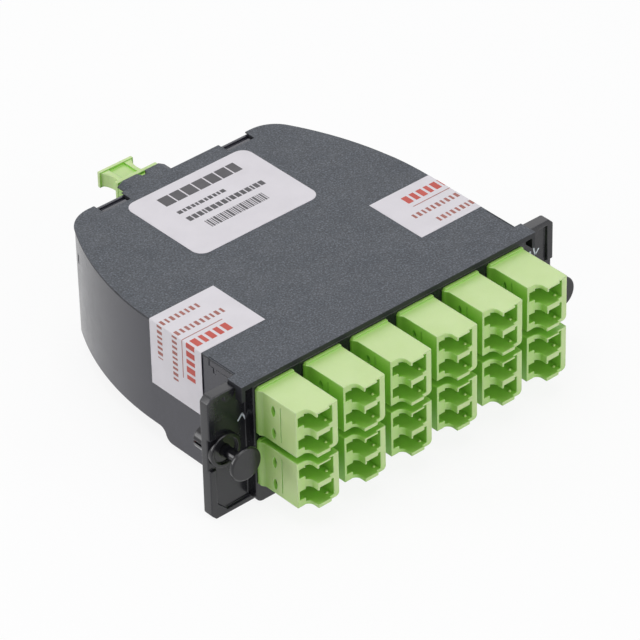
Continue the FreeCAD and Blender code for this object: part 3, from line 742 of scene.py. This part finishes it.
@dataclass
class AdapterBank:
    """Twelve duplex adapters with rounded edges, leaf dimples and a score line.

    Args:
        rows: Names of the rows.
        columns: Adapters in a row.
        edge: Width of the edge rounding.
        leaf_half: Half height of a dimple.
        leaf_wide: Half width of a dimple.
        leaf_deep: Depth of a dimple.
        leaf_y: Place of the dimples.
        leaf_apart: Height of the upper dimple over the middle, and depth of the lower one.
        leaf_drop: How far both dimples stand lower than that.
        leaf_taper: How much a dimple narrows towards its ends.
        score_y: Place of the score line.
        score_wide: Width of the score line.
        score_deep: Depth of the score line.
        score_margin: Room kept above and below the score line.
        side_inset: Distance of the latch side from the adapter's far side.
        lip: Height of the lips above and below the body.
        stud_aside: How far the studs on the ports' floors stand beside the sleeves.
        stud_y: Place of the studs.
        stud_round: Radius of a stud.
        port_floors: Heights of the two ports' floors over the middle of the sleeves.
    """

    rows: tuple[str, ...] = ("top", "bottom")
    columns: int = 6
    edge: float = 0.2 * MM
    leaf_half: float = 1.55 * MM
    leaf_wide: float = 0.72 * MM
    leaf_deep: float = 1.1 * MM
    leaf_y: float = -10.6 * MM
    leaf_apart: float = 3.1 * MM
    leaf_drop: float = 0.5 * MM
    leaf_taper: float = 0.35
    score_y: float = -13.1 * MM
    score_wide: float = 0.28 * MM
    score_deep: float = 0.16 * MM
    score_margin: float = 1.3 * MM
    side_inset: float = 10.4 * MM
    lip: float = 0.4 * MM
    stud_aside: float = 1.45 * MM
    stud_y: float = -19.4 * MM
    stud_round: float = 0.4 * MM
    port_floors: tuple[float, ...] = (0.975 * MM, -5.275 * MM)

    def cutter(self, left: float, low: float, high: float) -> bpy.types.Object:
        """Shapes that are cut out of an adapter's latch side.

        Args:
            left: X of the side.
            low: Lowest Z of the body.
            high: Highest Z of the body.

        Returns:
            An object with all the shapes.
        """
        form = bmesh.new()
        middle = (low + high) / 2
        for offset in (self.leaf_apart, -self.leaf_apart):
            made = bmesh.ops.create_uvsphere(form, u_segments=20, v_segments=14, radius=1.0)
            for vert in made["verts"]:
                vert.co = Vector((vert.co.x * self.leaf_deep + left,
                                  vert.co.y * self.leaf_wide
                                  * (1 - self.leaf_taper * vert.co.z ** 2) + self.leaf_y,
                                  vert.co.z * self.leaf_half + middle + offset
                                  - self.leaf_drop))
        made = bmesh.ops.create_cube(form, size=1.0)
        reach = (high - low) / 2 - self.score_margin
        for vert in made["verts"]:
            vert.co = Vector((left + vert.co.x * 2 * self.score_deep,
                              self.score_y + vert.co.y * self.score_wide,
                              middle + vert.co.z * 2 * reach))
        mesh = bpy.data.meshes.new("adapter_cutter")
        form.to_mesh(mesh)
        form.free()
        return link_object("adapter_cutter", mesh)

    def pattern(self, source: bpy.types.Object) -> bpy.types.Mesh:
        """Makes the finished adapter mesh at the first adapter's place."""
        form = EdgeRounder(self.edge).rounded(cleaned(source))
        mesh = finished_mesh("adapter_pattern", form)
        stand = link_object("adapter_pattern", mesh)
        low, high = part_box("adapter_top_1")
        tool = self.cutter(high.x - self.side_inset, low.z + self.lip, high.z - self.lip)
        cut = stand.modifiers.new("dimples", "BOOLEAN")
        cut.operation = "DIFFERENCE"
        cut.solver = "EXACT"
        cut.object = tool
        bpy.context.view_layer.update()
        ready = stand.evaluated_get(bpy.context.evaluated_depsgraph_get())
        result = bpy.data.meshes.new_from_object(ready)
        for extra in (stand, tool):
            bpy.data.objects.remove(extra)
        return result

    def studs(self, form: bmesh.types.BMesh, middle: Vector) -> None:
        """Adds one adapter's studs, one on the floor of each port.

        Args:
            form: Mesh to add to.
            middle: Middle of the adapter's sleeves.
        """
        for floor in self.port_floors:
            made = bmesh.ops.create_uvsphere(form, u_segments=12, v_segments=8,
                                             radius=self.stud_round)
            for vert in made["verts"]:
                vert.co += Vector((middle.x + self.stud_aside, self.stud_y, middle.z + floor))

    def build(self, frame: dict, finishes: Finishes) -> None:
        """Places the adapters.

        Args:
            frame: The loaded frame.
            finishes: All materials.
        """
        pattern = self.pattern(frame["nodes"]["adapter_top_1"])
        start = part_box("adapter_top_1")[0]
        round_form = bmesh.new()
        for row in self.rows:
            for column in range(1, self.columns + 1):
                node = f"adapter_{row}_{column}"
                mesh = pattern.copy()
                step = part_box(node)[0] - start
                for vert in mesh.vertices:
                    vert.co += step
                piece = add_piece(node + "_soft", mesh, finishes.by_slot[Slot.ADAPTER],
                                  Body.HOUSING)
                weigh_normals(piece)
                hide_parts(node)
                low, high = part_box(f"sleeves_{row}_{column}")
                self.studs(round_form, (low + high) / 2)
        add_piece("port_studs", finished_mesh("port_studs", round_form), finishes.stud,
                  Body.HOUSING)


def slabs(name: str, rects: list[Rect], low: float, high: float) -> bpy.types.Mesh:
    """Makes thin upright-sided slabs from rectangles in plan.

    Args:
        name: Name of the mesh.
        rects: Lowest X, highest X, lowest Y and highest Y of each, in metres.
        low: Underside.
        high: Top.

    Returns:
        One mesh of closed slabs.
    """
    form = bmesh.new()
    for x0, x1, y0, y1 in rects:
        made = bmesh.ops.create_cube(form, size=1.0)
        for vert in made["verts"]:
            vert.co = Vector(((x0 + x1) / 2 + vert.co.x * (x1 - x0),
                              (y0 + y1) / 2 + vert.co.y * (y1 - y0),
                              (low + high) / 2 + vert.co.z * (high - low)))
    mesh = bpy.data.meshes.new(name)
    form.to_mesh(mesh)
    form.free()
    return mesh


def dashes(start: float, end: float, low: float, high: float, lengths: tuple[float, ...],
           gap: float) -> list[Rect]:
    """Fills a line with bars of repeating lengths.

    Args:
        start: First X.
        end: Last X.
        low: Lowest Y.
        high: Highest Y.
        lengths: Bar lengths, used in turn.
        gap: Space between bars.

    Returns:
        The bars.
    """
    out: list[Rect] = []
    x = start
    index = 0
    while x < end:
        step = lengths[index % len(lengths)]
        out.append((x, min(x + step, end), low, high))
        x += step + gap
        index += 1
    return out


@dataclass
class LidLabel:
    """Rounded paper label with a plain block, two rows of bars and a bar field.

    Args:
        corner: Corner radius.
        steps: Straight pieces in a corner.
        ink: Thickness of the print.
    """

    corner: float = 3.0 * MM
    steps: int = 12
    ink: float = 0.02 * MM

    def sheet(self, low: Vector, high: Vector) -> bpy.types.Mesh:
        """Makes the rounded sheet.

        Args:
            low: Lowest corner.
            high: Highest corner.

        Returns:
            The sheet's mesh.
        """
        form = bmesh.new()
        outline: list[tuple[float, float]] = []
        corners = ((high.x, high.y, 0), (low.x, high.y, 90), (low.x, low.y, 180),
                   (high.x, low.y, 270))
        for x, y, turn in corners:
            cx = x - self.corner if x == high.x else x + self.corner
            cy = y - self.corner if y == high.y else y + self.corner
            for i in range(self.steps + 1):
                angle = math.radians(turn + 90 * i / self.steps)
                outline.append((cx + self.corner * math.cos(angle),
                                cy + self.corner * math.sin(angle)))
        prism(form, [Vector((x, y, high.z - self.ink)) for x, y in outline],
              [Vector((x, y, low.z)) for x, y in outline])
        return finished_mesh("lid_label_paper", form, FACETED_BELOW)

    def print_rects(self, middle: Vector) -> list[Rect]:
        """Lays out the print.

        Args:
            middle: Middle of the label.

        Returns:
            Rectangles in metres.
        """
        marks: list[Rect] = dashes(-11.4, 12.6, 7.2, 11.1, (3.3, 3.0, 3.2), 0.42)
        marks += dashes(-11.2, 3.6, 2.6, 3.9, (1.3, 0.8, 1.1, 0.9, 0.7), 0.38)
        marks += dashes(-11.2, 12.8, -1.4, 0.5, (1.35, 1.2, 1.3, 0.6, 1.25), 0.36)
        marks += dashes(-8.8, 9.4, -6.8, -3.6, (0.28, 0.5, 0.2, 0.36, 0.7, 0.24), 0.3)
        return [(middle.x + a * MM, middle.x + b * MM, middle.y + c * MM, middle.y + d * MM)
                for a, b, c, d in marks]

    def build(self, finishes: Finishes) -> None:
        """Makes the paper and its print."""
        low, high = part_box("main_label")
        paper = add_piece("lid_label_paper", self.sheet(low, high),
                          finishes.by_slot[Slot.PAPER], Body.HOUSING)
        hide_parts("main_label")
        rects = self.print_rects((low + high) / 2)
        ink = slabs("lid_label_print", rects, high.z - self.ink, high.z)
        add_piece("lid_label_print", ink, finishes.dark_ink, Body.HOUSING)


class Ink(Enum):
    """Inks on a seal."""

    RED = "red"
    BROWN = "brown"


@dataclass(frozen=True)
class SealRow:
    """One printed row on a seal.

    Args:
        ink: Its ink.
        start: Start along the seal, from its inner end, in millimetres.
        end: End along the seal.
        low: Lowest Y from the seal's front edge.
        high: Highest Y from the seal's front edge.
        lengths: Bar lengths.
        gap: Space between bars.
    """

    ink: Ink
    start: float
    end: float
    low: float
    high: float
    lengths: tuple[float, ...]
    gap: float


@dataclass
class FoldedSeal:
    """Paper seal folded over the lid's edge, with rows of coloured bars.

    Args:
        side: Side of the housing.
        rows: Its print.
        fold: Radius of the fold.
        bends: Straight pieces in the fold.
        thick: Thickness of the paper with its print.
        ink: Thickness of the print.
    """

    side: Side
    rows: tuple[SealRow, ...]
    fold: float = 0.26 * MM
    bends: int = 8
    thick: float = 0.12 * MM
    ink: float = 0.02 * MM

    def path(self, low: Vector, high: Vector, inset: float) -> list[tuple[float, float, float]]:
        """Walks the seal's outer face across the lid, round the fold and down.

        Args:
            low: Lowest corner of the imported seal.
            high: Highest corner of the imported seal.
            inset: How far inside the outer face the walk is.

        Returns:
            Distance along the seal, X and Z of each point.
        """
        sign = self.side.value
        outer = high.x if sign > 0 else low.x
        inner = low.x if sign > 0 else high.x
        radius = self.fold - inset
        centre_x = outer - sign * self.fold
        centre_z = high.z - self.fold
        points = [(inner, high.z - inset)]
        for i in range(self.bends + 1):
            angle = math.radians(90 - 90 * i / self.bends)
            points.append((centre_x + sign * radius * math.cos(angle),
                           centre_z + radius * math.sin(angle)))
        points.append((outer - sign * inset, low.z))
        out = []
        along = 0.0
        for i, (x, z) in enumerate(points):
            if i:
                along += math.dist(points[i - 1], (x, z))
            out.append((along, x, z))
        return out

    def strip(self, name: str, low: Vector, high: Vector, spans: list[Rect],
              near: float, far: float) -> bpy.types.Mesh:
        """Bends flat rectangles along the seal.

        Args:
            name: Name of the mesh.
            low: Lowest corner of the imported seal.
            high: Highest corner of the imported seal.
            spans: Start, end, lowest Y and highest Y of each rectangle.
            near: Inset of the outer face.
            far: Inset of the inner face.

        Returns:
            One mesh of closed bent slabs.
        """
        outer = self.path(low, high, near)
        inner = self.path(low, high, far)
        form = bmesh.new()

        def at(walk: list[tuple[float, float, float]], along: float) -> tuple[float, float]:
            """Point on a walk at a distance."""
            for first, second in zip(walk, walk[1:]):
                if along <= second[0]:
                    break
            part = (along - first[0]) / (second[0] - first[0])
            return (first[1] + part * (second[1] - first[1]),
                    first[2] + part * (second[2] - first[2]))

        total = outer[-1][0]
        for start, end, y0, y1 in spans:
            stops = [start] + [p[0] for p in outer if start < p[0] < end] + [end]
            rings = []
            for stop in stops:
                ox, oz = at(outer, stop)
                ix, iz = at(inner, stop * inner[-1][0] / total)
                rings.append([form.verts.new(p) for p in (
                    (ox, y0, oz), (ox, y1, oz), (ix, y1, iz), (ix, y0, iz))])
            for one, two in zip(rings, rings[1:]):
                for i in range(4):
                    j = (i + 1) % 4
                    form.faces.new((one[i], one[j], two[j], two[i]))
            form.faces.new(list(reversed(rings[0])))
            form.faces.new(rings[-1])
        return finished_mesh(name, form, FACETED_BELOW)

    def build(self, finishes: Finishes) -> None:
        """Makes the paper and its print."""
        node = self.side.name.lower() + "_seal"
        low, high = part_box(node)
        total = self.path(low, high, self.ink)[-1][0]
        whole = [(0.0, total, low.y, high.y)]
        paper = add_piece(node + "_paper",
                          self.strip(node + "_paper", low, high, whole, self.ink, self.thick),
                          finishes.by_slot[Slot.PAPER], Body.HOUSING)
        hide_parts(node)
        for ink, material in ((Ink.RED, finishes.red_ink), (Ink.BROWN, finishes.brown_ink)):
            spans: list[Rect] = []
            for row in self.rows:
                if row.ink is ink:
                    spans += [(a * MM, b * MM, low.y + c * MM, low.y + d * MM)
                              for a, b, c, d in dashes(row.start, row.end, row.low, row.high,
                                                       row.lengths, row.gap)]
            name = f"{node}_{ink.value}_print"
            add_piece(name, self.strip(name, low, high, spans, 0.0, self.ink),
                      material, Body.HOUSING)


@dataclass
class EarMarks:
    """White painted strokes on the ears.

    Args:
        face_y: Y of the ears' recessed face.
        width: Width of a stroke.
        thick: Thickness of the paint.
        bevel: Share of a stroke's end that its corners keep.
    """

    face_y: float = -2.2 * MM
    width: float = 0.42 * MM
    thick: float = 0.04 * MM
    bevel: float = 0.4

    def stroke(self, form: bmesh.types.BMesh, start: tuple[float, float],
               end: tuple[float, float]) -> None:
        """Adds one stroke.

        Args:
            form: Mesh to add it to.
            start: X and Z of its start, in millimetres.
            end: X and Z of its end, in millimetres.
        """
        a = Vector((start[0], 0, start[1])) * MM
        b = Vector((end[0], 0, end[1])) * MM
        along = (b - a).normalized()
        across = Vector((-along.z, 0, along.x)) * self.width / 2
        tip = along * self.width / 2
        near = tip * self.bevel
        outline = [a - across - near, a - tip, a + across - near,
                   b + across + near, b + tip, b - across + near]
        prism(form, [p + Vector((0, self.face_y - self.thick, 0)) for p in outline],
              [p + Vector((0, self.face_y, 0)) for p in outline])

    def build(self, finishes: Finishes) -> None:
        """Makes both ears' marks."""
        marks = {
            Side.LEFT: (((-44.75, 5.5), (-43.45, 6.95)), ((-43.45, 6.95), (-42.2, 4.2))),
            Side.RIGHT: (((48.3, 9.4), (48.8, 7.4)), ((48.8, 7.4), (49.9, 8.7)),
                         ((47.1, 9.0), (47.25, 8.2))),
        }
        for side, strokes in marks.items():
            form = bmesh.new()
            for start, end in strokes:
                self.stroke(form, start, end)
            name = side.name.lower() + "_ear_mark"
            add_piece(name, finished_mesh(name, form, FACETED_BELOW), finishes.white_paint,
                      Body.HOUSING)


@dataclass
class Viewpoint:
    """Camera that looks at the part.

    Args:
        place: Position in metres.
        turn: Rotation in degrees about X, Y and Z.
        lens: Focal length in millimetres.
        sensor: Width of the sensor in millimetres.
        clip: Nearest and farthest distance that it shows, in metres.
    """

    place: tuple[float, float, float] = (-0.547490, -0.619240, 0.599840)
    turn: tuple[float, float, float] = (54.5307, 1.1366, -41.3688)
    lens: float = 244.886
    sensor: float = 36.0
    clip: tuple[float, float] = (0.05, 20.0)

    def build(self) -> None:
        """Makes the camera and puts it in charge."""
        data = bpy.data.cameras.new("viewpoint")
        data.lens = self.lens
        data.sensor_width = self.sensor
        data.clip_start, data.clip_end = self.clip
        camera = link_object("viewpoint", data)
        camera.location = self.place
        camera.rotation_euler = Euler([math.radians(a) for a in self.turn], "XYZ")
        bpy.context.scene.camera = camera


@dataclass(frozen=True)
class Lamp:
    """Soft rectangular lamp.

    Args:
        name: Its name.
        place: Position in metres.
        target: Point that it faces.
        size: Width and height in metres.
        power: Power in watts.
    """

    name: str
    place: tuple[float, float, float]
    target: tuple[float, float, float]
    size: tuple[float, float]
    power: float

    def build(self) -> None:
        """Makes the lamp."""
        data = bpy.data.lights.new(self.name, "AREA")
        data.shape = "RECTANGLE"
        data.size, data.size_y = self.size
        data.energy = self.power
        lamp = link_object(self.name, data)
        lamp.location = self.place
        way = Vector(self.target) - Vector(self.place)
        lamp.rotation_euler = way.to_track_quat("-Z", "Y").to_euler()


@dataclass
class Studio:
    """Pale floor, even sky and soft lamps.

    Args:
        floor_half: Half width of the floor.
        floor_gap: Room between the part and the floor.
        floor_grey: Brightness of the floor's own colour.
        glow_share: Share of white in the floor where it is seen directly.
        sky: Strength of the sky's light.
        sky_colour: Colour of the sky's light.
        lamps: The lamps.
    """

    floor_half: float = 2.5
    floor_gap: float = 0.02 * MM
    floor_grey: float = 0.9
    glow_share: float = 0.88
    sky: float = 0.33
    sky_colour: Colour = (0.95, 0.97, 1.0)
    lamps: tuple[Lamp, ...] = (
        Lamp("top_key", (-0.1, 0.1, 0.9), (0.0, 0.02, 0.0), (0.7, 0.7), 4.0),
        Lamp("back_sheen", (0.62, 0.78, 0.66), (0.0, 0.02, 0.0), (1.1, 0.5), 1.5),
        Lamp("front_fill", (0.2, -1.0, 0.45), (0.0, 0.0, 0.0), (0.9, 0.5), 4.1),
        Lamp("left_window", (-0.85, 0.55, 0.35), (0.0, 0.02, 0.0), (0.35, 0.7), 3.0),
    )

    def sky_light(self) -> None:
        """Lights the scene evenly and shows plain white behind it."""
        world = bpy.data.worlds.new("studio_sky")
        bpy.context.scene.world = world
        world.use_nodes = True
        nodes = world.node_tree.nodes
        links = world.node_tree.links
        nodes.clear()
        out = nodes.new("ShaderNodeOutputWorld")
        mix = nodes.new("ShaderNodeMixShader")
        for socket, colour, strength in ((1, self.sky_colour, self.sky), (2, WHITE, 1.0)):
            light = nodes.new("ShaderNodeBackground")
            light.inputs["Color"].default_value = (*colour, 1.0)
            light.inputs["Strength"].default_value = strength
            links.new(light.outputs["Background"], mix.inputs[socket])
        links.new(seen_directly(world.node_tree), mix.inputs["Fac"])
        links.new(mix.outputs["Shader"], out.inputs["Surface"])

    def floor(self) -> None:
        """Lays a pale floor just under the part."""
        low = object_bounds()[0][2]
        half = self.floor_half
        form = bmesh.new()
        corners = [(-half, -half), (half, -half), (half, half), (-half, half)]
        form.faces.new([form.verts.new((x, y, low - self.floor_gap)) for x, y in corners])
        mesh = bpy.data.meshes.new("floor")
        form.to_mesh(mesh)
        form.free()
        tree = Tree("floor_white")
        grey = self.floor_grey
        tree.set_shader(Base_Color=(grey, grey, grey, 1.0), Roughness=0.85,
                        Specular_IOR_Level=0.1)
        glow = tree.nodes.new("ShaderNodeEmission")
        glow.inputs["Color"].default_value = (*WHITE, 1.0)
        seen = seen_directly(tree.material.node_tree)
        share = tree.math("MULTIPLY", seen, self.glow_share)
        mix = tree.nodes.new("ShaderNodeMixShader")
        tree.links.new(share, mix.inputs["Fac"])
        tree.links.new(tree.shader.outputs["BSDF"], mix.inputs[1])
        tree.links.new(glow.outputs["Emission"], mix.inputs[2])
        tree.links.new(mix.outputs["Shader"], tree.out.inputs["Surface"])
        mesh.materials.append(tree.material)
        plane = link_object("floor", mesh)
        plane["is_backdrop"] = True

    def build(self) -> None:
        """Sets the colour view, the sky, the floor and the lamps."""
        bpy.context.scene.view_settings.view_transform = "Standard"
        self.sky_light()
        self.floor()
        for lamp in self.lamps:
            lamp.build()


def dress_nodes(frame: dict, finishes: Finishes) -> None:
    """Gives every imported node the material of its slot.

    Args:
        frame: The loaded frame.
        finishes: All materials.
    """
    for row in frame["record"]["subparts"]:
        node = frame["nodes"][row["node"]]
        material = finishes.by_slot[Slot(row["material_slot"])]
        node.data.materials.clear()
        node.data.materials.append(material)


def seal_rows(side: Side) -> tuple[SealRow, ...]:
    """Lays out a seal's print.

    Args:
        side: Side of the housing.

    Returns:
        Its rows, bold first.
    """
    bold = (1.7, 1.4, 1.6, 1.2)
    thin = (0.7, 0.9, 0.6, 0.8)
    if side is Side.LEFT:
        return (SealRow(Ink.RED, 7.6, 29.5, 2.4, 5.4, bold, 0.8),
                SealRow(Ink.BROWN, 7.2, 30.0, 6.7, 6.95, (40.0,), 0.0),
                SealRow(Ink.BROWN, 4.6, 33.0, 8.7, 10.5, thin, 0.75),
                SealRow(Ink.BROWN, 7.6, 29.0, 14.1, 15.9, thin, 0.75))
    return (SealRow(Ink.RED, 7.4, 29.0, 12.6, 15.6, bold, 0.8),
            SealRow(Ink.BROWN, 7.4, 30.0, 10.9, 11.15, (40.0,), 0.0),
            SealRow(Ink.BROWN, 4.4, 33.0, 6.8, 8.6, thin, 0.75),
            SealRow(Ink.BROWN, 8.0, 29.0, 2.1, 3.9, thin, 0.75))


def main() -> None:
    """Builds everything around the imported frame."""
    logging.basicConfig(level=logging.INFO, format="%(name)s %(message)s")
    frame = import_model()
    finishes = Finishes()
    Viewpoint().build()
    Studio().build()
    dress_nodes(frame, finishes)
    for part in (SoftenedNode("tub", Slot.HOUSING, 0.12 * MM),
                 SoftenedNode("lid", Slot.LID, 0.12 * MM),
                 SoftenedNode("faceplate", Slot.PANEL, 0.28 * MM),
                 SoftenedNode("mpo_adapter", Slot.ADAPTER, 0.2 * MM),
                 SoftenedNode("dust_cap", Slot.ADAPTER, 0.2 * MM, Body.DUST_CAP),
                 SoftenedNode("left_grommet", Slot.LATCH, 0.12 * MM),
                 SoftenedNode("right_grommet", Slot.LATCH, 0.12 * MM),
                 SoftenedNode("left_plunger", Slot.LATCH, 0.1 * MM, Body.LEFT_PLUNGER),
                 SoftenedNode("right_plunger", Slot.LATCH, 0.1 * MM, Body.RIGHT_PLUNGER)):
        part.build(frame, finishes)
    AdapterBank().build(frame, finishes)
    LidLabel().build(finishes)
    for side in Side:
        FoldedSeal(side, seal_rows(side)).build(finishes)
    EarMarks().build(finishes)


if __name__ == "__main__":
    main()
